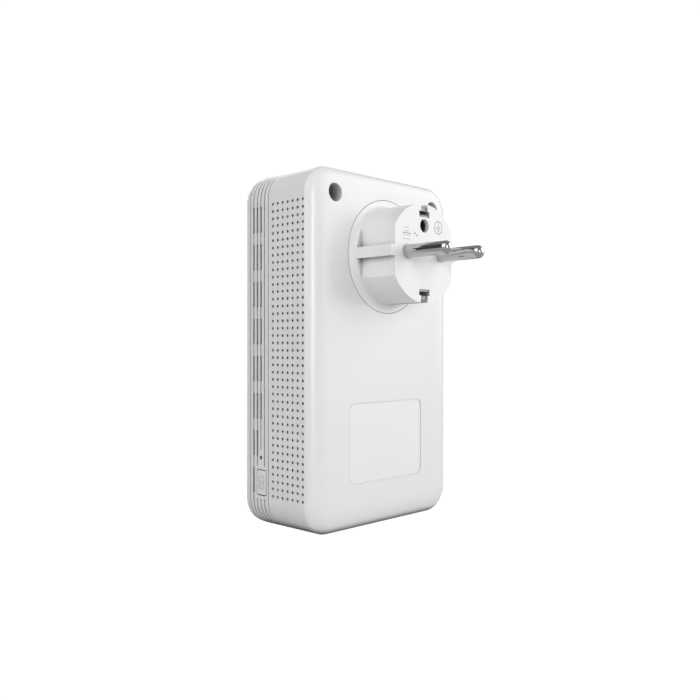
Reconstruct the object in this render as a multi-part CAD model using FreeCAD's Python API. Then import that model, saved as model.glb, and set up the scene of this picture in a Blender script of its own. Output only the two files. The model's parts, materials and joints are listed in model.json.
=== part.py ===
import FreeCAD, Part
import math
import os

Vector = FreeCAD.Vector

# A mains plug-through network adapter. Millimetres. The centre of the plug's engaging face is
# the origin, its pins point along +Y into the wall socket, +Z is up and the front faces -Y.

# Casing
CASE_WIDTH = 78.4
CASE_HEIGHT = 131.3
CASE_DEPTH = 35.9
CASE_TOP = 30.5                  # above the plug's axis
CORNER_RADIUS = 10.6
REAR_ROUND = 9.0                 # how far the rear edge falls inward ...
REAR_ROUND_DEPTH = 4.4           # ... and over what depth: a quarter ellipse
FRONT_ROUND = 0.6
FRONT_ROUND_DEPTH = 5.5
WALL = 2.0
PARTING_DEPTH = 22.9             # rear wall to the seam between the two half shells
PARTING_GAP = 0.3
LIP_THICKNESS = 1.2
LIP_REACH = 2.0
FIT_GAP = 0.1                    # between pieces that are fixed to each other
PRESS_GAP = 0.02                 # round metal that is pressed into place
MOVE_GAP = 0.3                   # round pieces that move

# Plug
PLUG_HEIGHT = 18.0               # engaging face to the casing's rear wall
PLUG_HALF_WIDTH = 18.8           # the plug's outline is slightly oval
PLUG_HALF_HEIGHT = 18.0
PLUG_FLAT = 16.3
PLUG_FLARE = 2.3
PLUG_WALL = 2.0
FACE_THICKNESS = 3.0
RIB_HALF_WIDTH = 2.0
POCKET_START = 16.0              # how deep the flat side pockets run from the face
DISC_RADIUS = 21.2
DISC_GAP = 0.2
FLANGE_RADIUS = 22.8
FLANGE_THICKNESS = 1.5
PIN_SPACING = 19.0
PIN_RADIUS = 2.4
PIN_LENGTH = 19.0
PIN_ROOT = 8.0                   # how far a pin reaches back behind the face ...
PIN_ROOT_RADIUS = 2.1            # ... and how thick it is there
PIN_SEAT_DEPTH = 0.6             # a ring round each pin is sunk this far into the face
COLLAR_RADIUS = 3.3
EARTH_HOLE_HEIGHT = 10.0
EARTH_HOLE_RADIUS = 2.45
SLEEVE_WALL = 0.35
SLEEVE_LENGTH = 12.0
SLEEVE_START = 1.5               # behind the face
NOTCH_MOUTH = 1.95               # half width where the earth channel meets the rim
NOTCH_WIDE = 2.95                # half width of its wider inner part
NOTCH_INNER = 13.1
NOTCH_STEP = 15.3
NOTCH_LENGTH = 15.6
MARK_LINE = 0.22                 # width of the engraved signs' lines
MARK_DEPTH = 0.12
EARTH_SIGN = (-8.2, 10.1)
EARTH_SIGN_RADIUS = 2.4
WAVE_SIGN = (4.9, 6.5)
BAR_SIGN = (7.6, 12.4)

# Socket in the front
WELL_RADIUS = 19.8
WELL_DEPTH = 17.5
WELL_FLAT = 17.2
WELL_FLOOR = 2.5
CUP_RADIUS = 21.5
CONTACT_HOLE = 2.7
SHUTTER_THICKNESS = 1.8
SHUTTER_PIVOT = 2.0
SPRING_PLACE = (-13.0, -9.5)
SPRING_WIRE = 0.3
CARRIER_RADIUS = 20.3
EARTH_SLOT = (16.4, 18.2)        # where the earth tongues pass the well's floor
TONGUE_THICKNESS = 0.7           # of the earth springs in the plug and in the socket

# Perforation, grooves and slots in the side walls
VENT_PITCH = 2.643
VENT_COLUMNS = 7
VENT_ROWS = 41
VENT_RADIUS = 0.56
VENT_FIRST = 4.67                # rear wall to the first column
GROOVE_PITCH = 2.03
GROOVE_FIRST = 25.19             # rear wall to the groove nearest the seam
GROOVE_COUNT = 5
GROOVE_WIDTH = 0.6
GROOVE_DEPTH = 0.4
SLOT_PITCH = 13.72
SLOT_LENGTH = 9.4
SLOT_WIDTH = 1.0

# Screws, controls and ports
SCREW_TOP = (27.7, 21.0)
SCREW_LOW = (16.5, -60.0)
WELL_BORE = 3.35
WELL_TUBE = 4.85
BOSS_RADIUS = 3.4
SCREW_RADIUS = 1.4
SCREW_DEPTH = 14.5
SCREW_HEAD = 2.8
DRIVE_LENGTH = 3.0
DRIVE_WIDTH = 0.6
BUTTON_HEIGHT = 9.3
BUTTON_WIDTH = 5.2
BUTTON_Z = -83.8
BUTTON_DEPTH = 26.8              # rear wall to the button's centre
BUTTON_TRAVEL = 0.5
RESET_Z = -74.7
RESET_DEPTH = 27.24
RESET_RADIUS = 0.75
SIGN_RADIUS = 1.5                # the raised rings on the pairing button
SWITCH_X = (11.8, 6.4)           # where the switches lie, inward from the side wall
JACK_X = 11.0
JACK_WIDTH = 16.0
JACK_THICKNESS = 13.4
JACK_LENGTH = 21.0
LABEL_HALF_WIDTH = 20.35
LABEL_TOP = -54.5
LABEL_BOTTOM = -84.0
LABEL_RECESS = 0.3
LABEL_RADIUS = 2.6
LAMP_SPACING = 8.0
LAMP_Z = -34.0
LAMP_RADIUS = 1.1

# Circuit boards
BOARD_THICKNESS = 1.6
BOARD_HALF_WIDTH = 34.0
BOARD_TOP = -26.5
BOARD_BOTTOM = -94.5
MAINS_BOARD_Y = -24.0            # rear face of the power supply board
COMMS_BOARD_Y = -41.2            # rear face of the network board
STRIP = 0.6                      # thickness of the sheet metal conductors
SHEET_Y = (-40.2, -39.7)
SOLDER_GAP = 0.05                # between a board and what it carries

# What the boards carry: the places covered in x and z
TRANSFORMER = ((-10.2, 10.2), (-77.0, -55.0))
BULK_CAPACITOR = (27.6, (-77.0, -55.0))
BULK_RADIUS = 5.6
OUTPUT_CAPACITOR = (24.0, -44.0)
FILTER_CAPACITOR = ((-33.0, -23.5), (-77.0, -58.0))
CHOKE = (-13.5, -43.0)
COUPLING = ((3.5, 15.5), (-49.0, -37.0))
FUSE = ((-30.0, -14.0), -32.0)
VARISTOR = (-28.5, -50.0)
HEADER = ((30.6, 33.4), (-46.0, -30.0))
HEADER_POSTS = 6
HEADER_PITCH = 2.54
PROCESSOR = ((-7.0, 7.0), (-67.0, -53.0))
HEAT_SINK = ((-10.0, 10.0), (-71.0, -49.0))
FIN_COUNT = 6
FIN_WIDTH = 1.0
MEMORY = ((18.0, 28.0), (-52.0, -44.0))
MAGNETICS_HALF_WIDTH = 6.0
MAGNETICS_Z = (-90.0, -80.5)

REAR = -PLUG_HEIGHT
FRONT = REAR - CASE_DEPTH
PARTING = REAR - PARTING_DEPTH
SIDE = CASE_WIDTH / 2
CASE_BOTTOM = CASE_TOP - CASE_HEIGHT
MIDDLE_Z = (CASE_TOP + CASE_BOTTOM) / 2
PIN_X = PIN_SPACING / 2
FLOOR_Y = FRONT + WELL_DEPTH
FLOOR_BACK = FLOOR_Y + WELL_FLOOR
FLANGE_Y = REAR - WALL - FIT_GAP
SCREW_SEAT = REAR - SCREW_DEPTH
MAINS_FRONT = MAINS_BOARD_Y - BOARD_THICKNESS
COMMS_FRONT = COMMS_BOARD_Y - BOARD_THICKNESS
BUTTON_Y = REAR - BUTTON_DEPTH
RESET_Y = REAR - RESET_DEPTH
JACK_FRONT = COMMS_BOARD_Y + FIT_GAP
JACK_REAR = JACK_FRONT + JACK_THICKNESS
JACK_MOUTH = CASE_BOTTOM + 0.2
SCREW_PLACES = [(side * x, z) for x, z in (SCREW_TOP, SCREW_LOW) for side in (1, -1)]
BAR_Y = FLANGE_Y - FLANGE_THICKNESS - 0.4 - STRIP / 2
FAR = 200.0


# ---------------------------------------------------------------- shape helpers

def box(x, y, z):
    """A block between two places on each axis."""
    low = Vector(min(x), min(y), min(z))
    return Part.makeBox(max(x) - low.x, max(y) - low.y, max(z) - low.z, low)


def rod(radius, start, end):
    """A round bar from one point to another."""
    path = Vector(*end) - Vector(*start)
    return Part.makeCylinder(radius, path.Length, Vector(*start), path)


def rod_y(radius, x, z, y):
    """A round bar along Y, centred on x and z."""
    return rod(radius, (x, min(y), z), (x, max(y), z))


def tube_y(outer, inner, x, z, y):
    """A pipe along Y."""
    return rod_y(outer, x, z, y).cut(rod_y(inner, x, z, y))


def edges_along(shape, axis):
    """The straight edges of a shape that run along an axis."""
    return [edge for edge in shape.Edges
            if edge.Curve.TypeId == "Part::GeomLine" and abs(edge.tangentAt(0).dot(axis)) > 0.99]


def rounded_box(x, y, z, radius, axis):
    """A block whose four edges along an axis are rounded."""
    block = box(x, y, z)
    return block.makeFillet(radius, edges_along(block, axis))


def case_slab(inset, y):
    """A slab with the casing's upright outline, moved in from the outside by inset."""
    half_width = SIDE - inset
    z = (CASE_BOTTOM + inset, CASE_TOP - inset)
    return rounded_box((-half_width, half_width), y, z, CORNER_RADIUS - inset, Vector(0, 1, 0))


def edge_section(reach, inward, depth, stock):
    """Half a cross-section in XY: a flat end at y = 0 that falls away to a side in a quarter ellipse."""
    arc = Part.Arc(Vector(0, 1, 0), Vector(math.sqrt(0.5), math.sqrt(0.5), 0), Vector(1, 0, 0)).toShape()
    stretch = FreeCAD.Matrix()
    stretch.scale(Vector(inward, depth, 1))
    arc = arc.transformGeometry(stretch)
    arc.translate(Vector(reach - inward, -depth, 0))
    corners = [Vector(reach, -depth, 0), Vector(reach, -stock, 0), Vector(0, -stock, 0),
               Vector(0, 0, 0), Vector(reach - inward, 0, 0)]
    lines = [Part.LineSegment(one, two).toShape() for one, two in zip(corners, corners[1:])]
    return Part.Face(Part.Wire(Part.sortEdges([arc.Edges[0]] + lines)[0]))


def rounded_end(inset, inward, depth, y_end):
    """A slab of the casing's outline whose edge at its +Y end falls away in a quarter ellipse."""
    corner = CORNER_RADIUS - inset
    stock = depth + 1
    half_width = SIDE - inset
    half_height = CASE_HEIGHT / 2 - inset
    corner_x = half_width - corner
    corner_z = half_height - corner
    flank = edge_section(half_width, inward, depth, stock)
    flank.translate(Vector(0, 0, -corner_z))
    flank = flank.extrude(Vector(0, 0, 2 * corner_z))
    brim = edge_section(half_height, inward, depth, stock)
    brim.rotate(Vector(0, 0, 0), Vector(0, 1, 0), 90)
    brim.translate(Vector(-corner_x, 0, 0))
    brim = brim.extrude(Vector(2 * corner_x, 0, 0))
    turned = edge_section(corner, inward, depth, stock).revolve(Vector(0, 0, 0), Vector(0, 1, 0), 360)
    pieces = [flank, flank.mirror(Vector(0, 0, 0), Vector(1, 0, 0)),
              brim, brim.mirror(Vector(0, 0, 0), Vector(0, 0, 1))]
    for side in (-1, 1):
        for end in (-1, 1):
            pieces.append(turned.translated(Vector(side * corner_x, 0, end * corner_z)))
    rounded = fused(pieces)
    rounded.translate(Vector(0, y_end, MIDDLE_Z))
    return rounded


def rear_end(inset):
    """The casing's rounded rear, shrunk by inset."""
    inward = REAR_ROUND - inset
    return rounded_end(inset, inward, REAR_ROUND_DEPTH * inward / REAR_ROUND, REAR - inset)


def front_end():
    """The casing's barely rounded front."""
    end = rounded_end(0, FRONT_ROUND, FRONT_ROUND_DEPTH, -FRONT)
    end.rotate(Vector(0, 0, 0), Vector(0, 0, 1), 180)
    return end


def half_shell(outside, y, hollow_y):
    """One half of the casing: its outside, with the case's inner space taken out."""
    inner_rear = rear_end(WALL)
    inner = case_slab(WALL, (hollow_y, inner_rear.BoundBox.YMin + 0.01)).fuse(inner_rear)
    return outside.common(box((-FAR, FAR), y, (-FAR, FAR))).cut(inner)


def fused(shapes):
    """Several overlapping shapes as one solid."""
    return shapes[0].multiFuse(shapes[1:]).removeSplitter()


def bent_strip(points, x, thickness=STRIP):
    """Sheet metal bent along points given as (y, z), reaching from one x to another."""
    pieces = []
    for (y0, z0), (y1, z1) in zip(points, points[1:]):
        run = Vector(0, y1 - y0, z1 - z0)
        length = run.Length + thickness
        piece = Part.makeBox(max(x) - min(x), length, thickness)
        piece.translate(Vector(min(x), -thickness / 2, -thickness / 2))
        piece.rotate(Vector(0, 0, 0), Vector(1, 0, 0), math.degrees(math.atan2(run.z, run.y)))
        piece.translate(Vector(0, y0, z0))
        pieces.append(piece)
    return fused(pieces)


# ---------------------------------------------------------------- casing

def vent_holes():
    """Every hole of the perforation, reaching through both side walls."""
    holes = []
    for column in range(VENT_COLUMNS):
        y = REAR - VENT_FIRST - column * VENT_PITCH
        for row in range(VENT_ROWS):
            z = MIDDLE_Z + (row - (VENT_ROWS - 1) / 2) * VENT_PITCH
            holes.append(rod(VENT_RADIUS, (-FAR / 4, y, z), (FAR / 4, y, z)))
    return Part.makeCompound(holes)


def jack_windows():
    """The two gaps in the bottom wall that the network jacks look out of."""
    half = JACK_WIDTH / 2 + 2 * FIT_GAP
    y = (JACK_FRONT - FIT_GAP, JACK_REAR + 2 * FIT_GAP)
    z = (CASE_BOTTOM - 1, CASE_BOTTOM + 5)
    return [box((x - half, x + half), y, z) for x in (-JACK_X, JACK_X)]


def label_recess():
    """The shallow sunken panel in the rear wall."""
    x = (-LABEL_HALF_WIDTH, LABEL_HALF_WIDTH)
    y = (REAR - LABEL_RECESS, REAR + 1)
    return rounded_box(x, y, (LABEL_BOTTOM, LABEL_TOP), LABEL_RADIUS, Vector(0, 1, 0))


def rear_housing():
    outside = rear_end(0)
    outside = case_slab(0, (FRONT, outside.BoundBox.YMin + 0.01)).fuse(outside)
    shell = half_shell(outside, (PARTING, REAR + 1), FRONT)
    shell = shell.cut(vent_holes())
    tubes = [rod_y(WELL_TUBE, x, z, (SCREW_SEAT - 1.5, REAR - 0.5)) for x, z in SCREW_PLACES]
    shell = shell.multiFuse(tubes)
    bores = [rod_y(WELL_BORE, x, z, (SCREW_SEAT, REAR + 1)) for x, z in SCREW_PLACES]
    shanks = [rod_y(SCREW_RADIUS + 0.3, x, z, (SCREW_SEAT - 5, REAR)) for x, z in SCREW_PLACES]
    plug_hole = rod_y(DISC_RADIUS + DISC_GAP, 0, 0, (REAR - 5, REAR + 1))
    return shell.cut(bores + shanks + jack_windows() + [plug_hole, label_recess()])


def groove(number):
    """One groove round the front half shell, counted from the seam."""
    y = REAR - GROOVE_FIRST - number * GROOVE_PITCH
    across = (y - GROOVE_WIDTH / 2, y + GROOVE_WIDTH / 2)
    ring = case_slab(-1, across).cut(case_slab(GROOVE_DEPTH, across))
    breaks = {0: (-89.7, -77.7), 1: (-89.7, -71.8), 2: (-89.7, -77.8)}
    if number in breaks:
        ring = ring.cut(box((SIDE - 3, SIDE + 3), across, breaks[number]))
    return ring


def side_slots():
    """Vent slots in three of the grooves; the control side has fewer."""
    slots = []
    for number, control_side_count in ((3, 8), (2, 7), (1, 6)):
        y = REAR - GROOVE_FIRST - number * GROOVE_PITCH
        across = (y - SLOT_WIDTH / 2, y + SLOT_WIDTH / 2)
        for place in range(8):
            z = MIDDLE_Z + (3.5 - place) * SLOT_PITCH
            along = (z - SLOT_LENGTH / 2, z + SLOT_LENGTH / 2)
            slots.append(box((-SIDE - 1, -SIDE + 3), across, along))
            if place < control_side_count:
                slots.append(box((SIDE - 3, SIDE + 1), across, along))
    return slots


def front_lip():
    """The tongue that slides inside the rear half, with the root that joins it to its own wall."""
    root_y = PARTING - 2.5
    tongue = case_slab(WALL + FIT_GAP, (root_y, PARTING + LIP_REACH))
    root = case_slab(WALL / 2, (root_y, PARTING - PARTING_GAP))
    inside = case_slab(WALL + LIP_THICKNESS, (root_y - 1, PARTING + LIP_REACH + 1))
    button_y = (root_y - 1, PARTING - 2 * PARTING_GAP)
    button_room = box((SIDE - 6, SIDE), button_y, (BUTTON_Z - 7, BUTTON_Z + 7))
    return tongue.fuse(root).cut([inside, button_room] + jack_windows())


def button_window():
    """The hole for the pairing button, a hair tighter along its front edge."""
    y = (BUTTON_Y - BUTTON_WIDTH / 2 - 0.1, BUTTON_Y + BUTTON_WIDTH / 2 + 0.15)
    z = (BUTTON_Z - BUTTON_HEIGHT / 2 - 0.15, BUTTON_Z + BUTTON_HEIGHT / 2 + 0.15)
    return rounded_box((SIDE - 4, SIDE + 1), y, z, 0.9, Vector(1, 0, 0))


def front_housing():
    outside = front_end()
    outside = case_slab(0, (outside.BoundBox.YMax - 0.01, REAR)).fuse(outside)
    shell = half_shell(outside, (FRONT - 1, PARTING - PARTING_GAP), FRONT + WALL)
    bosses = [rod_y(BOSS_RADIUS, x, z, (FRONT + WALL - 0.5, SCREW_SEAT - 1.7)) for x, z in SCREW_PLACES]
    shell = shell.multiFuse(bosses + [front_lip()])
    cuts = [groove(number) for number in range(GROOVE_COUNT)] + side_slots()
    cuts += [rod_y(SCREW_RADIUS + 0.05, x, z, (FRONT + 5, SCREW_SEAT)) for x, z in SCREW_PLACES]
    cuts += [rod_y(LAMP_RADIUS + FIT_GAP, x, LAMP_Z, (FRONT - 1, FRONT + 5)) for x in lamp_places()]
    cuts.append(rod_y(CUP_RADIUS + 0.2, 0, 0, (FRONT - 1, FRONT + 5)))
    cuts.append(button_window())
    cuts.append(rod(RESET_RADIUS, (SIDE - 4, RESET_Y, RESET_Z), (SIDE + 1, RESET_Y, RESET_Z)))
    return shell.cut(cuts)


def housing_screws():
    """Four screws, each with its head on the seat of its deep well."""
    screws = []
    for x, z in SCREW_PLACES:
        head = rod_y(SCREW_HEAD, x, z, (SCREW_SEAT + PRESS_GAP, SCREW_SEAT + 2.2))
        head = head.makeFillet(0.6, [edge for edge in head.Edges if edge.BoundBox.YMin > SCREW_SEAT + 2])
        long = DRIVE_LENGTH / 2
        short = DRIVE_WIDTH / 2
        y = (SCREW_SEAT + 1.1, SCREW_SEAT + 3)
        drive = [box((x - long, x + long), y, (z - short, z + short)),
                 box((x - short, x + short), y, (z - long, z + long))]
        shank = rod_y(SCREW_RADIUS, x, z, (SCREW_SEAT - 12, SCREW_SEAT + 0.1))
        screws.append(head.fuse(shank).cut(drive))
    return Part.makeCompound(screws)


def rating_label():
    """A blank sheet that fills the sunken panel and hides the lower screws."""
    edge = 0.25
    x = (edge - LABEL_HALF_WIDTH, LABEL_HALF_WIDTH - edge)
    z = (LABEL_BOTTOM + edge, LABEL_TOP - edge)
    y = (REAR - LABEL_RECESS, REAR - LABEL_RECESS + 0.12)
    return rounded_box(x, y, z, LABEL_RADIUS - edge, Vector(0, 1, 0))


# ---------------------------------------------------------------- plug

def oval(half_width, half_height, y):
    """An upright oval bar along Y."""
    outline = Part.Ellipse(Vector(0, 0, 0), half_width, half_height).toShape()
    face = Part.Face(Part.Wire(outline))
    face.rotate(Vector(0, 0, 0), Vector(1, 0, 0), 90)
    face.translate(Vector(0, min(y), 0))
    return face.extrude(Vector(0, max(y) - min(y), 0))


def side_pockets():
    """The flat pockets on both flanks of the plug, which leave a guide rib between them."""
    pockets = []
    for side in (-1, 1):
        for half in (-1, 1):
            x = (side * PLUG_FLAT, side * (PLUG_HALF_WIDTH + 5))
            z = (half * RIB_HALF_WIDTH, half * (PLUG_HALF_HEIGHT + 5))
            pockets.append(box(x, (-POCKET_START, 1), z))
    return pockets


def earth_notches():
    """T-shaped channels at the top and bottom of the plug."""
    notches = []
    for side in (-1, 1):
        y = (-NOTCH_LENGTH, 1)
        mouth = box((-NOTCH_MOUTH, NOTCH_MOUTH), y, (side * NOTCH_INNER, side * (PLUG_HALF_HEIGHT + 2)))
        wide = box((-NOTCH_WIDE, NOTCH_WIDE), y, (side * NOTCH_INNER, side * NOTCH_STEP))
        notches += [mouth, wide]
    return notches


def level_line(x, z, half_length):
    """One engraved line across the plug's face."""
    return box((x - half_length, x + half_length), (-MARK_DEPTH, 1), (z - MARK_LINE / 2, z + MARK_LINE / 2))


def face_marks():
    """Fine engraved signs: an earth sign in a ring, a wave, and a bar between two rows of ticks."""
    y = (-MARK_DEPTH, 1)
    sign_x, sign_z = EARTH_SIGN
    marks = [tube_y(EARTH_SIGN_RADIUS, EARTH_SIGN_RADIUS - MARK_LINE, sign_x, sign_z, y),
             box((sign_x - MARK_LINE / 2, sign_x + MARK_LINE / 2), y, (sign_z, sign_z + 1.8))]
    for half_length, drop in ((1.4, 0), (0.95, 0.7), (0.45, 1.4)):
        marks.append(level_line(sign_x, sign_z - drop, half_length))
    wave_x, wave_z = WAVE_SIGN
    marks.append(level_line(sum(BAR_SIGN) / 2, wave_z, (BAR_SIGN[1] - BAR_SIGN[0]) / 2))
    for x, lift, count in ((10.9, 1.4, 2), (11.4, -1.4, 3)):
        for tick in range(count):
            for edge in (-1, 1):
                marks.append(level_line(x - 1.4 * tick, wave_z + lift + edge * 0.64, 0.4))
    for side in (-1, 1):
        crest = tube_y(0.62, 0.62 - MARK_LINE, wave_x + side * 0.55, wave_z, y)
        marks.append(crest.common(box((0, FAR), y, (wave_z, wave_z + side * 2))))
    return marks


def plug_insert():
    """The moulded plug body with its disc, the flange behind it and the sockets for its metal."""
    body = oval(PLUG_HALF_WIDTH, PLUG_HALF_HEIGHT, (REAR - 0.5, 0))
    disc = rod_y(DISC_RADIUS, 0, 0, (FLANGE_Y - FLANGE_THICKNESS, REAR))
    flange = rod_y(FLANGE_RADIUS, 0, 0, (FLANGE_Y - FLANGE_THICKNESS, FLANGE_Y))
    solid = body.fuse(disc)
    root = [edge for edge in solid.Edges
            if abs(edge.BoundBox.YMin - REAR) < 0.01 and edge.BoundBox.XMax < DISC_RADIUS - 1
            and edge.BoundBox.YLength < 0.01]
    solid = solid.makeFillet(PLUG_FLARE, root)
    solid = solid.fuse(flange).cut(side_pockets())
    hollow = oval(PLUG_HALF_WIDTH - PLUG_WALL, PLUG_HALF_HEIGHT - PLUG_WALL, (REAR - 10, -FACE_THICKNESS))
    hollow = hollow.common(box((-PLUG_FLAT + PLUG_WALL, PLUG_FLAT - PLUG_WALL), (-FAR, FAR), (-FAR, FAR)))
    for side in (-1, 1):
        wall = NOTCH_INNER - 1.3
        hollow = hollow.cut(box((-4.2, 4.2), (-NOTCH_LENGTH - 1.2, 0), (side * wall, side * FAR)))
    earth_boss = rod_y(4.0, 0, EARTH_HOLE_HEIGHT, (-SLEEVE_LENGTH - 1.8, 0))
    solid = solid.cut(hollow.cut(earth_boss))
    sleeve_radius = EARTH_HOLE_RADIUS + SLEEVE_WALL
    cuts = earth_notches() + face_marks()
    cuts.append(rod_y(sleeve_radius + PRESS_GAP, 0, EARTH_HOLE_HEIGHT, (-20, -SLEEVE_START)))
    cuts.append(rod_y(EARTH_HOLE_RADIUS, 0, EARTH_HOLE_HEIGHT, (-5, 1)))
    for x in (-PIN_X, PIN_X):
        cuts.append(rod_y(PIN_ROOT_RADIUS + PRESS_GAP, x, 0, (-10, 1)))
        cuts.append(rod_y(PIN_RADIUS + FIT_GAP / 2, x, 0, (-PIN_SEAT_DEPTH, 1)))
    return solid.cut(cuts)


def plug_pin(x):
    """One contact pin: round tip, plain shank, and a thinner root with a collar behind the face."""
    shank = rod_y(PIN_RADIUS, x, 0, (0, PIN_LENGTH - PIN_RADIUS))
    root = rod_y(PIN_ROOT_RADIUS, x, 0, (-PIN_ROOT, 1))
    tip = Part.makeSphere(PIN_RADIUS, Vector(x, PIN_LENGTH - PIN_RADIUS, 0))
    collar = rod_y(COLLAR_RADIUS, x, 0, (-FACE_THICKNESS - 1.0, -FACE_THICKNESS - SOLDER_GAP))
    return fused([shank, tip, root, collar])


def earth_sleeve():
    """The metal sleeve that takes a socket's own earth pin."""
    outer = EARTH_HOLE_RADIUS + SLEEVE_WALL
    y = (-SLEEVE_START - SLEEVE_LENGTH, -SLEEVE_START - PRESS_GAP)
    return tube_y(outer, EARTH_HOLE_RADIUS, 0, EARTH_HOLE_HEIGHT, y)


def earth_strip(side):
    """The folded earth spring in the plug's top (side 1) or bottom (side -1) channel."""
    leaf_z = PLUG_HALF_HEIGHT - 1
    inner_z = (side * (NOTCH_INNER + FIT_GAP), side * (NOTCH_INNER + FIT_GAP + TONGUE_THICKNESS))
    inner_half = NOTCH_WIDE - 2 * FIT_GAP
    leaf_half = NOTCH_MOUTH - FIT_GAP
    leaf_x = (-leaf_half, leaf_half)
    inner = box((-inner_half, inner_half), (-15.3, -0.3), inner_z)
    leaf = box(leaf_x, (-15.3, -0.5), (side * (leaf_z - TONGUE_THICKNESS), side * leaf_z))
    front = box(leaf_x, (-1.1, -0.5), (side * (NOTCH_STEP + FIT_GAP), side * leaf_z))
    fold = box(leaf_x, (-15.4, -14.7), (inner_z[0], side * leaf_z))
    return fused([inner, leaf, front, fold])


def pin_bar(x):
    """The strip from a pin, round the mating pin's room and down to the power supply board."""
    eye_y = -FACE_THICKNESS - 1.5
    points = [(eye_y, -3.2), (eye_y, 4.4), (BAR_Y, 4.4), (BAR_Y, BOARD_TOP - 4)]
    strip = bent_strip(points, (x - 3, x + 3))
    tab = box((x - 1.2, x + 1.2), (MAINS_FRONT - 0.8, BAR_Y), (BOARD_TOP - 3.4, BOARD_TOP - 2.6))
    return strip.fuse(tab).cut(rod_y(PIN_ROOT_RADIUS + PRESS_GAP, x, 0, (-10, 0))).removeSplitter()


def earth_bar():
    """The strip from the earth sleeve down to the power supply board."""
    top_y = -SLEEVE_START - SLEEVE_LENGTH - 0.8
    points = [(top_y, EARTH_HOLE_HEIGHT + 1.3), (top_y, 4.6), (BAR_Y, 4.6), (BAR_Y, BOARD_TOP - 4)]
    strip = bent_strip(points, (-2.5, 2.5))
    tab = box((-1.2, 1.2), (MAINS_FRONT - 0.8, BAR_Y), (BOARD_TOP - 3.4, BOARD_TOP - 2.6))
    return strip.fuse(tab).cut(rod_y(EARTH_HOLE_RADIUS, 0, EARTH_HOLE_HEIGHT, (-20, 0))).removeSplitter()


# ---------------------------------------------------------------- front socket

def socket_insert():
    """The recessed front socket: a cup with flat flanks, rib slots, and holes in its floor."""
    cup = rod_y(CUP_RADIUS, 0, 0, (FRONT, FLOOR_BACK))
    flange = rod_y(CUP_RADIUS + 2, 0, 0, (FRONT + WALL + FIT_GAP, FRONT + WALL + 1.6))
    pivot = rod_y(SHUTTER_PIVOT, 0, 0, (FLOOR_BACK - 0.5, FLOOR_BACK + SHUTTER_THICKNESS + 2 * MOVE_GAP))
    well = rod_y(WELL_RADIUS, 0, 0, (FRONT - 1, FLOOR_Y))
    rib_slots = box((-FAR, FAR), (-FAR, FAR), (-RIB_HALF_WIDTH - 0.4, RIB_HALF_WIDTH + 0.4))
    flanks = box((-WELL_FLAT, WELL_FLAT), (-FAR, FAR), (-FAR, FAR))
    well = well.common(flanks.fuse(rib_slots))
    solid = cup.fuse(flange).cut(well).fuse(pivot)
    rim = [edge for edge in solid.Edges
           if edge.BoundBox.YMax < FRONT + 0.01 and edge.BoundBox.XMax > CUP_RADIUS - 0.1]
    solid = solid.makeFillet(0.5, rim)
    holes = [rod_y(CONTACT_HOLE, x, 0, (FLOOR_Y - 1, FLOOR_BACK + 1)) for x in (-PIN_X, PIN_X)]
    for side in (-1, 1):
        slot_z = [side * edge for edge in EARTH_SLOT]
        holes.append(box((-2.5, 2.5), (FLOOR_Y - 1, FLOOR_BACK + 1), slot_z))
    return solid.cut(holes)


def contact_carrier():
    """The moulding behind the socket floor that holds its contacts and closes the shutter's room."""
    back = BAR_Y - STRIP / 2 - FIT_GAP
    disc = rod_y(CARRIER_RADIUS, 0, 0, (back - 1.7, back))
    skirt = tube_y(CARRIER_RADIUS, CARRIER_RADIUS - 1.4, 0, 0, (FLOOR_BACK + SOLDER_GAP, back - 1.5))
    windows = [box((x - 3.4, x + 3.4), (back - 3, back + 1), (-5.2, 5.2)) for x in (-PIN_X, PIN_X)]
    return disc.fuse(skirt).cut(windows)


def socket_contact(x):
    """A pair of sprung leaves that grip a mating pin."""
    base_y = BAR_Y - STRIP - 0.15
    tip_y = FLOOR_BACK + SHUTTER_THICKNESS + 1.0
    base = [(base_y, -4.6), (base_y, 4.6)]
    pieces = [bent_strip(base, (x - 2.6, x + 2.6))]
    for side in (-1, 1):
        leaf = [(base_y, side * 4.6), (base_y - 5, side * 2.9),
                (tip_y + 1.5, side * 2.8), (tip_y, side * 3.8)]
        pieces.append(bent_strip(leaf, (x - 2.6, x + 2.6)))
    return fused(pieces).cut(rod_y(PIN_RADIUS + 0.1, x, 0, (-FAR, 0)))


def socket_earth_bracket():
    """The U-shaped earth spring whose two tongues stand in the socket well."""
    bridge_y = FLOOR_BACK + SHUTTER_THICKNESS + 2 * MOVE_GAP + 0.6
    root_z = 17.2
    pieces = [bent_strip([(bridge_y, -root_z), (bridge_y, root_z)], (-2.2, 2.2), TONGUE_THICKNESS)]
    for side in (-1, 1):
        tongue = [(bridge_y, side * root_z), (FLOOR_Y - 2, side * root_z),
                  (FLOOR_Y - 8, side * 16.0), (FLOOR_Y - 14.5, side * 18.4)]
        pieces.append(bent_strip(tongue, (-2.2, 2.2), TONGUE_THICKNESS))
    return fused(pieces)


def shutter():
    """The turning child guard: two vanes with ramps, which cover the contact holes at rest."""
    y = (FLOOR_BACK + MOVE_GAP, FLOOR_BACK + MOVE_GAP + SHUTTER_THICKNESS)
    hub = rod_y(5.0, 0, 0, y)
    vanes = rounded_box((-13.4, 13.4), y, (-3.5, 3.5), 2.0, Vector(0, 1, 0))
    solid = fused([hub, vanes])
    cuts = [rod_y(SHUTTER_PIVOT + 0.05, 0, 0, (-FAR, 0))]
    for side in (-1, 1):
        ramp = box((-2.4, 2.4), (-2, 0), (-6, 2.2))
        ramp.rotate(Vector(0, 0, 0), Vector(1, 0, 0), side * 20)
        ramp.translate(Vector(side * PIN_X, y[0] + 0.3, 0))
        cuts.append(ramp)
    return solid.cut(cuts)


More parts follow.
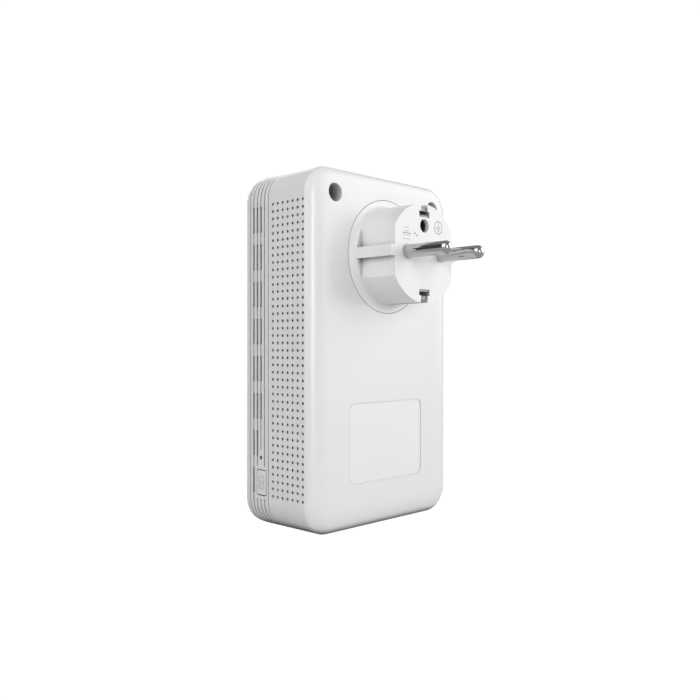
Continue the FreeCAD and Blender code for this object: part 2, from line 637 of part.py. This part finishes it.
def shutter_spring():
    """The hairpin spring that swings the shutter shut again."""
    y = FLOOR_BACK + MOVE_GAP + SHUTTER_THICKNESS / 2
    x, z = SPRING_PLACE
    coil_radius = 1.6
    coil = Part.makeTorus(coil_radius, SPRING_WIRE, Vector(x, y, z), Vector(0, 1, 0))
    arm = rod(SPRING_WIRE, (x + coil_radius, y, z), (x + coil_radius, y, z + 5.4))
    anchor = rod(SPRING_WIRE, (x - coil_radius, y, z), (x - coil_radius, y, z - 1.7))
    return fused([coil, arm, anchor])


# ---------------------------------------------------------------- controls and lamps

def pair_button():
    """The pairing button: cap with a raised sign, the flange that keeps it in, and its stem."""
    y = (BUTTON_Y - BUTTON_WIDTH / 2 + 0.05, BUTTON_Y + BUTTON_WIDTH / 2 - 0.15)
    z = (BUTTON_Z - BUTTON_HEIGHT / 2 + 0.15, BUTTON_Z + BUTTON_HEIGHT / 2 - 0.15)
    face_x = SIDE + 0.1
    cap = rounded_box((SIDE - 3, face_x), y, z, 0.7, Vector(1, 0, 0))
    rim = [edge for edge in cap.Edges if edge.BoundBox.XMin > face_x - 0.001]
    cap = cap.makeFillet(0.25, rim)
    flange = box((SIDE - 4.0, SIDE - WALL - MOVE_GAP), (y[0] - 0.7, y[1] + 0.7), (z[0] - 0.7, z[1] + 0.7))
    stem = rod(1.4, (SIDE - 5.1, BUTTON_Y, BUTTON_Z), (SIDE - 3.5, BUTTON_Y, BUTTON_Z))
    rings = []
    for side in (-1, 1):
        middle = Vector(face_x - 0.1, BUTTON_Y, BUTTON_Z + side * 1.15)
        rings.append(Part.makeCylinder(SIGN_RADIUS, 0.25, middle, Vector(1, 0, 0)).cut(
            Part.makeCylinder(SIGN_RADIUS - 0.3, 0.25, middle, Vector(1, 0, 0))))
    return fused([cap, flange, stem] + rings)


def switch_body(y, z, bore):
    """A small push switch that lies on the network board and faces the side wall."""
    x = [SIDE - inward for inward in SWITCH_X]
    body = box(x, (COMMS_FRONT - FIT_GAP, y - 2.1), (z - 2.9, z + 2.9))
    return body.cut(rod(bore, (x[0] + 2.4, y, z), (x[1] + 1, y, z)))


def switch_plunger(y, z, radius):
    """The moving pin of a push switch."""
    return rod(radius, (SIDE - 8.6, y, z), (SIDE - 5.2, y, z))


def lamp_places():
    return [-LAMP_SPACING, 0, LAMP_SPACING]


def indicator_lamps():
    """Three surface-mounted lamps on the network board."""
    half = 0.9
    return Part.makeCompound([on_comms((x - half, x + half), (LAMP_Z - half, LAMP_Z + half), half)
                              for x in lamp_places()])


def light_guide():
    """Three clear rods on one bar, which carry the lamps' light to the front."""
    rods = [rod_y(LAMP_RADIUS, x, LAMP_Z, (FRONT, COMMS_FRONT - 1.2)) for x in lamp_places()]
    bar_x = LAMP_SPACING + 2
    bar = box((-bar_x, bar_x), (FRONT + 3.0, FRONT + 4.2), (LAMP_Z - 1.8, LAMP_Z + 1.8))
    return fused([bar] + rods)


# ---------------------------------------------------------------- network jacks

def jack_space(x, depth):
    """The plug-shaped hollow of a network jack: a wide part, and a notch for the latch."""
    z = (JACK_MOUTH - 1, JACK_MOUTH + depth)
    wide = box((x - 5.9, x + 5.9), (JACK_FRONT + 2.2, JACK_FRONT + 9.6), z)
    step = box((x - 3.1, x + 3.1), (JACK_FRONT + 9, JACK_FRONT + 11.4), z)
    return wide.fuse(step)


def jack_shield(x):
    """The folded metal can round a jack, open at its mouth."""
    half = JACK_WIDTH / 2
    outer = box((x - half, x + half), (JACK_FRONT, JACK_REAR), (JACK_MOUTH, JACK_MOUTH + JACK_LENGTH))
    inner = box((x - half + 0.3, x + half - 0.3), (JACK_FRONT + 0.3, JACK_REAR - 0.3),
                (JACK_MOUTH - 1, JACK_MOUTH + JACK_LENGTH - 0.3))
    return outer.cut(inner)


def jack_body(x):
    """The plastic core of a jack."""
    half = JACK_WIDTH / 2 - 0.35
    core = box((x - half, x + half), (JACK_FRONT + 0.35, JACK_REAR - 0.35),
               (JACK_MOUTH + 0.1, JACK_MOUTH + JACK_LENGTH - 0.4))
    return core.cut(jack_space(x, 15.0))


def jack_contacts(x):
    """Eight sprung wires that slope back into a jack's hollow."""
    wires = []
    for number in range(8):
        middle = x + (number - 3.5) * 1.02
        low = JACK_MOUTH + 2.2
        points = [(JACK_FRONT + 2.45, low), (JACK_FRONT + 4.3, low + 6.5), (JACK_FRONT + 2.9, low + 11.5)]
        wires.append(bent_strip(points, (middle - 0.2, middle + 0.2), 0.3))
    return Part.makeCompound(wires)


# ---------------------------------------------------------------- boards and what they carry

def board(rear_face, cuts):
    """A circuit board, standing upright."""
    plate = box((-BOARD_HALF_WIDTH, BOARD_HALF_WIDTH), (rear_face - BOARD_THICKNESS, rear_face),
                (BOARD_BOTTOM, BOARD_TOP))
    return plate.cut(cuts)


def mains_board():
    x, z = SCREW_LOW
    cuts = [rod_y(WELL_TUBE + 0.3, side * x, z, (-FAR, 0)) for side in (-1, 1)]
    for x in (-PIN_X, 0, PIN_X):
        cuts.append(box((x - 1.4, x + 1.4), (-FAR, 0), (BOARD_TOP - 3.6, BOARD_TOP - 2.4)))
    return board(MAINS_BOARD_Y, cuts)


def comms_board():
    x, z = SCREW_LOW
    return board(COMMS_BOARD_Y, [rod_y(BOSS_RADIUS + 0.4, side * x, z, (-FAR, 0)) for side in (-1, 1)])


def insulating_sheet():
    """The thin barrier between the mains side and the network side."""
    x, z = SCREW_LOW
    above_jacks = JACK_MOUTH + JACK_LENGTH + 0.5
    sheet = box((-BOARD_HALF_WIDTH, BOARD_HALF_WIDTH), SHEET_Y, (above_jacks, BOARD_TOP))
    holes = [rod_y(BOSS_RADIUS + 0.4, side * x, z, (-FAR, 0)) for side in (-1, 1)]
    (header_low, _), (header_bottom, header_top) = HEADER
    header_room = box((header_low - 0.6, FAR), (-FAR, 0), (header_bottom - 1, header_top + 1))
    return sheet.cut(holes + [header_room])


def board_header():
    """The row of posts that joins the two boards."""
    x, z = HEADER
    middle = sum(x) / 2
    pieces = [on_mains(x, z, 8.5)]
    for number in range(HEADER_POSTS):
        low = z[0] + 0.7 + number * HEADER_PITCH
        post_y = (COMMS_BOARD_Y + SOLDER_GAP, MAINS_FRONT - 8)
        pieces.append(box((middle - 0.3, middle + 0.3), post_y, (low, low + 0.6)))
    return fused(pieces)


def on_mains(x, z, height):
    """A block on the power supply board."""
    return box(x, (MAINS_FRONT - height, MAINS_FRONT - SOLDER_GAP), z)


def on_comms(x, z, height):
    """A block on the network board."""
    return box(x, (COMMS_FRONT - height, COMMS_FRONT - SOLDER_GAP), z)


def transformer_core():
    x, z = TRANSFORMER
    ring = box(x, (MAINS_FRONT - 11.5, MAINS_FRONT - 2.5), z)
    window = box((x[0] + 3.6, x[1] - 3.6), (-FAR, 0), (z[0] + 3.5, z[1] - 3.5))
    return ring.cut(window)


def transformer_winding():
    x, z = TRANSFORMER
    y = (MAINS_FRONT - 13.2, MAINS_FRONT - 0.8)
    wound = box((x[0] + 3.8, x[1] - 3.8), y, (z[0] + 3.7, z[1] - 3.7))
    return wound.makeFillet(1.6, edges_along(wound, Vector(0, 0, 1)))


def bulk_capacitor():
    x, z = BULK_CAPACITOR
    y = MAINS_FRONT - BULK_RADIUS - MOVE_GAP
    can = rod(BULK_RADIUS, (x, y, z[0]), (x, y, z[1]))
    return can.makeFillet(0.8, can.Edges[0:1] + can.Edges[2:3])


def output_capacitor():
    x, z = OUTPUT_CAPACITOR
    return rod_y(4.0, x, z, (MAINS_FRONT - 12, MAINS_FRONT - SOLDER_GAP))


def filter_capacitor():
    block = on_mains(*FILTER_CAPACITOR, 12.5)
    return block.makeFillet(0.8, edges_along(block, Vector(0, 1, 0)))


def mains_choke():
    """A ring-shaped noise filter."""
    y = (MAINS_FRONT - 8.0, MAINS_FRONT - 0.6)
    ring = tube_y(7.2, 3.2, *CHOKE, y)
    rims = [edge for edge in ring.Edges if edge.Curve.TypeId == "Part::GeomCircle"]
    return ring.makeFillet(1.0, rims)


def coupling_transformer():
    """Passes the data signal between the mains side and the network side."""
    x, z = COUPLING
    inset = 1.5
    y = (MAINS_FRONT - 11.0, MAINS_FRONT - 9.5)
    top = box((x[0] + inset, x[1] - inset), y, (z[0] + inset, z[1] - inset))
    return on_mains(x, z, 9.5).fuse(top)


def fuse_link():
    x, z = FUSE
    y = MAINS_FRONT - 3.0
    return rod(2.6, (x[0], y, z), (x[1], y, z))


def surge_varistor():
    x, z = VARISTOR
    y = MAINS_FRONT - 5.5
    return rod(5.2, (x, y, z), (x, y, z + 4.5))


def processor():
    return on_comms(*PROCESSOR, 1.2)


def heat_sink():
    x, z = HEAT_SINK
    pieces = [box(x, (COMMS_FRONT - 2.9, COMMS_FRONT - 1.3), z)]
    pitch = (x[1] - x[0] - FIN_WIDTH) / (FIN_COUNT - 1)
    for number in range(FIN_COUNT):
        low = x[0] + number * pitch
        pieces.append(box((low, low + FIN_WIDTH), (COMMS_FRONT - 7.6, COMMS_FRONT - 2.5), z))
    return fused(pieces)


def memory_chip():
    return on_comms(*MEMORY, 1.1)


def magnetics(x):
    half = MAGNETICS_HALF_WIDTH
    return on_comms((x - half, x + half), MAGNETICS_Z, 5.6)


NODES = {
    "rear_housing": rear_housing,
    "front_housing": front_housing,
    "housing_screws": housing_screws,
    "rating_label": rating_label,
    "plug_insert": plug_insert,
    "plug_pin_line": lambda: plug_pin(PIN_X),
    "plug_pin_neutral": lambda: plug_pin(-PIN_X),
    "earth_sleeve": earth_sleeve,
    "plug_earth_strip_top": lambda: earth_strip(1),
    "plug_earth_strip_bottom": lambda: earth_strip(-1),
    "line_bar": lambda: pin_bar(PIN_X),
    "neutral_bar": lambda: pin_bar(-PIN_X),
    "earth_bar": earth_bar,
    "socket_insert": socket_insert,
    "contact_carrier": contact_carrier,
    "socket_contact_line": lambda: socket_contact(PIN_X),
    "socket_contact_neutral": lambda: socket_contact(-PIN_X),
    "socket_earth_bracket": socket_earth_bracket,
    "shutter": shutter,
    "shutter_spring": shutter_spring,
    "pair_button": pair_button,
    "pair_switch": lambda: switch_body(BUTTON_Y, BUTTON_Z, 1.25),
    "pair_switch_plunger": lambda: switch_plunger(BUTTON_Y, BUTTON_Z, 1.2),
    "reset_switch": lambda: switch_body(RESET_Y, RESET_Z, 1.05),
    "reset_switch_plunger": lambda: switch_plunger(RESET_Y, RESET_Z, 1.0),
    "indicator_lamps": indicator_lamps,
    "light_guide": light_guide,
    "mains_board": mains_board,
    "comms_board": comms_board,
    "insulating_sheet": insulating_sheet,
    "board_header": board_header,
    "transformer_core": transformer_core,
    "transformer_winding": transformer_winding,
    "bulk_capacitor": bulk_capacitor,
    "output_capacitor": output_capacitor,
    "filter_capacitor": filter_capacitor,
    "mains_choke": mains_choke,
    "coupling_transformer": coupling_transformer,
    "fuse_link": fuse_link,
    "surge_varistor": surge_varistor,
    "processor": processor,
    "heat_sink": heat_sink,
    "memory_chip": memory_chip,
}
for side_name, side_x in (("left", -JACK_X), ("right", JACK_X)):
    NODES["jack_shield_" + side_name] = lambda x=side_x: jack_shield(x)
    NODES["jack_body_" + side_name] = lambda x=side_x: jack_body(x)
    NODES["jack_contacts_" + side_name] = lambda x=side_x: jack_contacts(x)
    NODES["jack_magnetics_" + side_name] = lambda x=side_x: magnetics(x)

os.makedirs("parts", exist_ok=True)
for node_name, make in NODES.items():
    shape = make()
    print(node_name, "valid" if shape.isValid() else "INVALID", len(shape.Solids), round(shape.Volume, 1))
    shape.exportStep("parts/" + node_name + ".step")
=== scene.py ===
import json
import math

import bpy
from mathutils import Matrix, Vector


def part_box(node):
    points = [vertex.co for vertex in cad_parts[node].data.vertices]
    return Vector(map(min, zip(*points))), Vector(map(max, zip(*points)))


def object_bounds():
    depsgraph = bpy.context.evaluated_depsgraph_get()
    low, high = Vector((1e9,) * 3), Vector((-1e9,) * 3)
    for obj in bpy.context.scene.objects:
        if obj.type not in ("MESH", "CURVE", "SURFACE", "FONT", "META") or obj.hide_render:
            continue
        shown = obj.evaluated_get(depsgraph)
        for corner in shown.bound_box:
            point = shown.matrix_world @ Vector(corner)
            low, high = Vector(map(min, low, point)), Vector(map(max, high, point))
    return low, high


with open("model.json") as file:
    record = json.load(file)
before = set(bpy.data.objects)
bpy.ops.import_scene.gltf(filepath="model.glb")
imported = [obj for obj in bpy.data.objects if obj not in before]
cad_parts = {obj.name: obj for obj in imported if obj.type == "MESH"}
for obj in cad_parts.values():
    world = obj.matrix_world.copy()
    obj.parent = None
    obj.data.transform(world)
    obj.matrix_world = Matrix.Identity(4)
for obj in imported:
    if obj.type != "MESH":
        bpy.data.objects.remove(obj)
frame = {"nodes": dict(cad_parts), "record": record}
cad_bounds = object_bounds()

MM = 0.001

# Colours of the white plastics
CASE_WHITE = (0.80, 0.80, 0.805)
PLUG_WHITE = (0.82, 0.82, 0.825)
LABEL_WHITE = (0.83, 0.83, 0.83)

# Moulded plastic: its patterns, in cycles per metre, and its gloss
PLASTIC_IOR = 1.58
CLOUD_SCALE = 45
GRAIN_SCALE = 2600
COARSE_GRAIN_SCALE = 1400
WORN_SCALE = 160

# Metal: its patterns, in cycles per metre, how deep its lines are, and which way they are drawn
LINE_SCALE = 900
LINE_DEPTH = 0.0015 * MM
TARNISH_SCALE = 240
TARNISH = 0.06
ALONG_X = (0.1, 1, 1)
ALONG_Y = (1, 0.1, 1)
ALONG_Z = (1, 1, 0.1)
PIN_LINES = (1, 0.05, 1)

# A noise pattern seldom leaves this range, so it is stretched from here
NOISE_LOW = 0.3
NOISE_HIGH = 0.7

# Painted shade in hollows: the open share of the surroundings that counts as shut in, and what light is
# left there
SHUT_IN = 0.08
LEAST_LIGHT = 0.12
SHELTER_SAMPLES = 12

# The signs on the plug are engraved this deep below its face, which lies at Y = 0
MARK_FLOOR = -0.12 * MM
MARK_TOLERANCE = 0.01 * MM
# Dark grey painted shade on the floors of the engraved lines
GROOVE_SHADE_PAINT = (0.07, 0.07, 0.07, 1)

# The studio: pale paper and air. The air dims towards one side, between two cosines of the angle from it
FLOOR_GREY = (0.55, 0.55, 0.55)
FLOOR_SIZE = 12
FLOOR_ROUGHNESS = 0.9
DARK_SIDE = (0.70, -0.70, 0.10)
FADE_START = 0.6
FADE_END = 0.9
AIR_BRIGHT = 0.30
AIR_DARK = 0.07
WHITE_STRENGTH = 1.02

# The camera stands level with the casing, between the vented side and the plug
CAMERA_PLACE = (0.23052, 0.18276, -0.03269)
CAMERA_TURN = 45.38
CAMERA_LENS = 41.43
CAMERA_SHIFT = (0.0190, -0.0093)


# ---------------------------------------------------------------- materials

def new_material(name):
    """An empty node material: its tree, its shader and a texture coordinate in the object's own space."""
    material = bpy.data.materials.new(name)
    material.use_nodes = True
    tree = material.node_tree
    shader = tree.nodes["Principled BSDF"]
    place = tree.nodes.new("ShaderNodeTexCoord")
    return material, tree, shader, place.outputs["Object"]


def noise(tree, place, scale, detail=3.0, roughness=0.5):
    """A cloudy pattern; scale is in cycles per metre."""
    node = tree.nodes.new("ShaderNodeTexNoise")
    node.inputs["Scale"].default_value = scale
    node.inputs["Detail"].default_value = detail
    node.inputs["Roughness"].default_value = roughness
    tree.links.new(place, node.inputs["Vector"])
    return node.outputs["Fac"]


def ranged(tree, pattern, low, high):
    """A noise pattern stretched to run from low to high."""
    node = tree.nodes.new("ShaderNodeMapRange")
    node.inputs["From Min"].default_value = NOISE_LOW
    node.inputs["From Max"].default_value = NOISE_HIGH
    node.inputs["To Min"].default_value = low
    node.inputs["To Max"].default_value = high
    tree.links.new(pattern, node.inputs["Value"])
    return node.outputs["Result"]


def shaded(tree, pattern, colour, change):
    """A colour that a pattern darkens by up to change."""
    node = tree.nodes.new("ShaderNodeMix")
    node.data_type = "RGBA"
    node.inputs["A"].default_value = (*[part * (1 - change) for part in colour], 1)
    node.inputs["B"].default_value = (*colour, 1)
    tree.links.new(pattern, node.inputs["Factor"])
    return node.outputs["Result"]


def painted_hollow_shade(tree, colour, reach, open_share):
    """Paints shade into a colour in holes, slots and seams, and beside other parts and the floor.

    Painted shade starts where things within reach, in metres, leave less than open_share of the
    surroundings open.
    """
    shelter = tree.nodes.new("ShaderNodeAmbientOcclusion")
    shelter.samples = SHELTER_SAMPLES
    shelter.inputs["Distance"].default_value = reach
    light = tree.nodes.new("ShaderNodeMapRange")
    light.inputs["From Min"].default_value = SHUT_IN
    light.inputs["From Max"].default_value = open_share
    light.inputs["To Min"].default_value = LEAST_LIGHT
    tree.links.new(shelter.outputs["AO"], light.inputs["Value"])
    dimmed = tree.nodes.new("ShaderNodeVectorMath")
    dimmed.operation = "SCALE"
    tree.links.new(colour, dimmed.inputs[0])
    tree.links.new(light.outputs["Result"], dimmed.inputs["Scale"])
    return dimmed.outputs["Vector"]


def paint_groove_shade(tree, place, colour):
    """Paints dark grey shade on the floors of the engraved lines."""
    parts = tree.nodes.new("ShaderNodeSeparateXYZ")
    tree.links.new(place, parts.inputs[0])
    on_floor = tree.nodes.new("ShaderNodeMath")
    on_floor.operation = "COMPARE"
    on_floor.inputs[1].default_value = MARK_FLOOR
    on_floor.inputs[2].default_value = MARK_TOLERANCE
    tree.links.new(parts.outputs["Y"], on_floor.inputs[0])
    groove_shade = tree.nodes.new("ShaderNodeMix")
    groove_shade.data_type = "RGBA"
    groove_shade.inputs["B"].default_value = GROOVE_SHADE_PAINT
    tree.links.new(colour, groove_shade.inputs["A"])
    tree.links.new(on_floor.outputs[0], groove_shade.inputs["Factor"])
    return groove_shade.outputs["Result"]


def bumped(tree, shader, height, depth):
    """Raises the surface by a pattern; depth is in metres."""
    node = tree.nodes.new("ShaderNodeBump")
    node.inputs["Distance"].default_value = depth
    node.inputs["Strength"].default_value = 1.0
    tree.links.new(height, node.inputs["Height"])
    tree.links.new(node.outputs["Normal"], shader.inputs["Normal"])


def moulded(name, colour, roughness=0.31, grain=0.001, change=0.02, spread=0.02, grain_scale=GRAIN_SCALE,
            reach=5, open_share=0.5, engraved=False):
    """Injection-moulded plastic: fine spark-eroded grain, faint cloudiness, uneven gloss, and shade
    painted into its colour in hollows.

    grain is the grain's depth, and reach is how far away a wall still casts painted shade; both are in
    millimetres.
    """
    material, tree, shader, place = new_material(name)
    cloud = noise(tree, place, CLOUD_SCALE, 2.0)
    fine = noise(tree, place, grain_scale, 2.0, 0.6)
    worn = noise(tree, place, WORN_SCALE, 4.0)
    surface = shaded(tree, cloud, colour, change)
    # Engraved lines get painted shade on their floors
    if engraved:
        surface = paint_groove_shade(tree, place, surface)
    # Painted shade: the colour is darkened in hollows, seams and beside other parts and the floor
    surface = painted_hollow_shade(tree, surface, reach * MM, open_share)
    tree.links.new(surface, shader.inputs["Base Color"])
    tree.links.new(ranged(tree, worn, roughness - spread, roughness + spread), shader.inputs["Roughness"])
    shader.inputs["IOR"].default_value = PLASTIC_IOR
    bumped(tree, shader, fine, grain * MM)
    return material


def metal(name, colour, roughness, lines_along=(1, 1, 1)):
    """Plated or rolled metal: fine drawn lines along one direction, uneven polish and a little tarnish."""
    material, tree, shader, place = new_material(name)
    mapping = tree.nodes.new("ShaderNodeMapping")
    mapping.inputs["Scale"].default_value = lines_along
    tree.links.new(place, mapping.inputs["Vector"])
    lines = noise(tree, mapping.outputs["Vector"], LINE_SCALE, 4.0)
    tarnish = noise(tree, place, TARNISH_SCALE, 3.0)
    shader.inputs["Metallic"].default_value = 1.0
    tree.links.new(shaded(tree, tarnish, colour, TARNISH), shader.inputs["Base Color"])
    tree.links.new(ranged(tree, lines, roughness * 0.7, roughness * 1.5), shader.inputs["Roughness"])
    bumped(tree, shader, lines, LINE_DEPTH)
    return material


def circuit_board(name):
    """Solder mask over copper tracks, with a fine weave below."""
    material, tree, shader, place = new_material(name)
    tracks = tree.nodes.new("ShaderNodeTexBrick")
    tracks.inputs["Scale"].default_value = 240
    tracks.inputs["Mortar Size"].default_value = 0.06
    tracks.inputs["Color1"].default_value = (0.010, 0.085, 0.030, 1)
    tracks.inputs["Color2"].default_value = (0.013, 0.100, 0.036, 1)
    tracks.inputs["Mortar"].default_value = (0.030, 0.190, 0.070, 1)
    upright = tree.nodes.new("ShaderNodeMapping")
    upright.inputs["Rotation"].default_value = (math.pi / 2, 0, 0)
    tree.links.new(place, upright.inputs["Vector"])
    tree.links.new(upright.outputs["Vector"], tracks.inputs["Vector"])
    tree.links.new(tracks.outputs["Color"], shader.inputs["Base Color"])
    gloss = noise(tree, place, 300)
    tree.links.new(ranged(tree, gloss, 0.25, 0.4), shader.inputs["Roughness"])
    weave = noise(tree, place, 1800)
    bumped(tree, shader, weave, 0.004 * MM)
    return material


def clear_plastic(name):
    """A clear light guide, slightly frosted."""
    material, tree, shader, place = new_material(name)
    shader.inputs["Transmission Weight"].default_value = 0.85
    shader.inputs["IOR"].default_value = 1.5
    haze = noise(tree, place, 120)
    tree.links.new(shaded(tree, haze, (0.93, 0.95, 0.97), 0.04), shader.inputs["Base Color"])
    frost = noise(tree, place, 500)
    tree.links.new(ranged(tree, frost, 0.18, 0.35), shader.inputs["Roughness"])
    ripple = noise(tree, place, 2200)
    bumped(tree, shader, ripple, 0.002 * MM)
    return material


# The finish for each of the record's material slots: first what shows on the outside of the object
outer_plastics = {
    # reach and open_share set how far painted shade spreads from walls, nearby parts and the floor
    "casing": moulded("casing_plastic", CASE_WHITE, reach=8),
    "casing_front": moulded("casing_front_plastic", CASE_WHITE, open_share=0.6),
    "label": moulded("label_film", LABEL_WHITE, roughness=0.34, grain=0.002, spread=0.04),
    "plug_plastic": moulded("plug_plastic", PLUG_WHITE, reach=4, open_share=0.8, engraved=True),
    "socket_plastic": moulded("socket_plastic", PLUG_WHITE, roughness=0.36, grain=0.004),
    "shutter_plastic": moulded("shutter_plastic", (0.70, 0.70, 0.69), roughness=0.45),
    "button_plastic": moulded("button_plastic", CASE_WHITE, roughness=0.38, reach=2, open_share=0.9),
    "clear_plastic": clear_plastic("light_guide_plastic"),
}

# Then what the pieces inside are made of
inner_materials = {
    "dark_plastic": moulded("dark_plastic", (0.018, 0.018, 0.020), roughness=0.45, grain=0.01, change=0.3),
    "plunger_plastic": moulded("plunger_plastic", (0.16, 0.12, 0.08), roughness=0.5, change=0.1),
    "lamp": moulded("lamp_resin", (0.80, 0.82, 0.66), roughness=0.2),
    "film": moulded("insulating_film", (0.72, 0.66, 0.40), roughness=0.25, grain=0.002, change=0.08),
    "ferrite": moulded("ferrite", (0.035, 0.035, 0.038), roughness=0.55, grain=0.02, change=0.25,
                       grain_scale=COARSE_GRAIN_SCALE),
    "winding_tape": moulded("winding_tape", (0.72, 0.50, 0.06), roughness=0.24, grain=0.004, change=0.12),
    "capacitor_sleeve": moulded("capacitor_sleeve", (0.012, 0.016, 0.045), roughness=0.22, grain=0.003,
                                change=0.3),
    "filter_plastic": moulded("filter_plastic", (0.50, 0.45, 0.30), roughness=0.3, change=0.08),
    "fuse_ceramic": moulded("fuse_ceramic", (0.68, 0.62, 0.50), roughness=0.5, grain=0.01, change=0.08),
    "varistor_coat": moulded("varistor_coat", (0.02, 0.07, 0.30), roughness=0.3, grain=0.02, change=0.2),
    "board": circuit_board("solder_mask"),
}

metals = {
    "pin_metal": metal("pin_plate", (0.57, 0.57, 0.58), roughness=0.08, lines_along=PIN_LINES),
    "contact_metal": metal("contact_plate", (0.25, 0.25, 0.255), roughness=0.42, lines_along=ALONG_Y),
    "screw_steel": metal("screw_plate", (0.42, 0.42, 0.44), roughness=0.3),
    "brass": metal("brass_strip", (0.72, 0.50, 0.20), roughness=0.28, lines_along=ALONG_Z),
    "spring_steel": metal("spring_wire", (0.55, 0.55, 0.58), roughness=0.25),
    "aluminium": metal("heat_sink_metal", (0.72, 0.73, 0.75), roughness=0.34, lines_along=ALONG_Z),
    "shield_metal": metal("shield_plate", (0.66, 0.66, 0.68), roughness=0.24, lines_along=ALONG_X),
    "gold_contact": metal("gold_flash", (0.90, 0.62, 0.22), roughness=0.2),
}

finishes = {**outer_plastics, **inner_materials, **metals}

for part in frame["record"]["subparts"]:
    node = frame["nodes"][part["node"]]
    node.data.materials.clear()
    node.data.materials.append(finishes[part["material_slot"]])


# ---------------------------------------------------------------- stage, light and camera

def casing_middle():
    """The middle of the casing's two halves, without the plug."""
    front_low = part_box("front_housing")[0]
    rear_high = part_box("rear_housing")[1]
    return (front_low + rear_high) / 2


def seen_as_white(tree, white, lit, output):
    """Gives a plain white glow to the camera's own rays, and the lit surface or air to every other ray."""
    white.inputs["Color"].default_value = (1, 1, 1, 1)
    white.inputs["Strength"].default_value = WHITE_STRENGTH
    path = tree.nodes.new("ShaderNodeLightPath")
    choice = tree.nodes.new("ShaderNodeMixShader")
    tree.links.new(path.outputs["Is Camera Ray"], choice.inputs["Fac"])
    tree.links.new(lit, choice.inputs[1])
    tree.links.new(white.outputs[0], choice.inputs[2])
    tree.links.new(choice.outputs[0], output.inputs["Surface"])


def floor():
    """A wide sheet of pale paper under the object."""
    ground = cad_bounds[0][2]
    bpy.ops.mesh.primitive_plane_add(size=FLOOR_SIZE, location=(0, 0, ground))
    plane = bpy.context.object
    plane.name = "studio_floor"
    material, tree, shader, place = new_material("studio_paper")
    cloud = noise(tree, place, 4)
    tree.links.new(shaded(tree, cloud, FLOOR_GREY, 0.01), shader.inputs["Base Color"])
    shader.inputs["Roughness"].default_value = FLOOR_ROUGHNESS
    white = tree.nodes.new("ShaderNodeEmission")
    seen_as_white(tree, white, shader.outputs[0], tree.nodes["Material Output"])
    plane.data.materials.append(material)


def soft_light(name, azimuth, height, distance, size, radiance):
    """A soft box that looks at the casing's middle.

    azimuth is in degrees from +X towards +Y, and height is above the casing's middle.
    """
    target = casing_middle()
    angle = math.radians(azimuth)
    place = target + Vector((distance * math.cos(angle), distance * math.sin(angle), height))
    data = bpy.data.lights.new(name, "AREA")
    data.shape = "RECTANGLE"
    data.size, data.size_y = size
    data.energy = radiance * math.pi * data.size * data.size_y
    light = bpy.data.objects.new(name, data)
    light.location = place
    light.rotation_euler = (target - place).to_track_quat("-Z", "Y").to_euler()
    bpy.context.scene.collection.objects.link(light)


def studio_air():
    """Pale air all round, darker on one side."""
    world = bpy.data.worlds.new("studio_air")
    world.use_nodes = True
    tree = world.node_tree
    direction = tree.nodes.new("ShaderNodeTexCoord")
    facing = tree.nodes.new("ShaderNodeVectorMath")
    facing.operation = "DOT_PRODUCT"
    facing.inputs[1].default_value = DARK_SIDE
    tree.links.new(direction.outputs["Generated"], facing.inputs[0])
    fade = tree.nodes.new("ShaderNodeMapRange")
    fade.inputs["From Min"].default_value = FADE_START
    fade.inputs["From Max"].default_value = FADE_END
    fade.inputs["To Min"].default_value = AIR_BRIGHT
    fade.inputs["To Max"].default_value = AIR_DARK
    tree.links.new(facing.outputs["Value"], fade.inputs["Value"])
    air = tree.nodes["Background"]
    tree.links.new(fade.outputs["Result"], air.inputs["Strength"])
    air.inputs["Color"].default_value = (1, 1, 1, 1)
    white = tree.nodes.new("ShaderNodeBackground")
    seen_as_white(tree, white, air.outputs[0], tree.nodes["World Output"])
    bpy.context.scene.world = world


def studio_light():
    """Two soft boxes that light the plug's side, one the vented side and one the socket's side."""
    soft_light("soft_box_front", azimuth=69, height=0.10, distance=1.3, size=(0.21, 0.70), radiance=13.0)
    soft_light("soft_box_right", azimuth=144, height=0.35, distance=1.3, size=(1.8, 1.7), radiance=1.95)
    soft_light("soft_box_left", azimuth=6, height=0.45, distance=0.8, size=(0.9, 0.9), radiance=1.6)
    soft_light("soft_box_behind", azimuth=-105, height=0.35, distance=1.3, size=(1.2, 1.2), radiance=1.8)
    studio_air()


def camera():
    """A camera level with the casing, turned between the vented side and the plug."""
    data = bpy.data.cameras.new("camera")
    data.lens = CAMERA_LENS
    data.shift_x, data.shift_y = CAMERA_SHIFT
    camera_object = bpy.data.objects.new("camera", data)
    camera_object.location = CAMERA_PLACE
    camera_object.rotation_euler = (math.pi / 2, 0, math.pi - math.radians(CAMERA_TURN))
    bpy.context.scene.collection.objects.link(camera_object)
    bpy.context.scene.camera = camera_object


floor()
studio_light()
camera()
bpy.context.scene.view_settings.view_transform = "Standard"
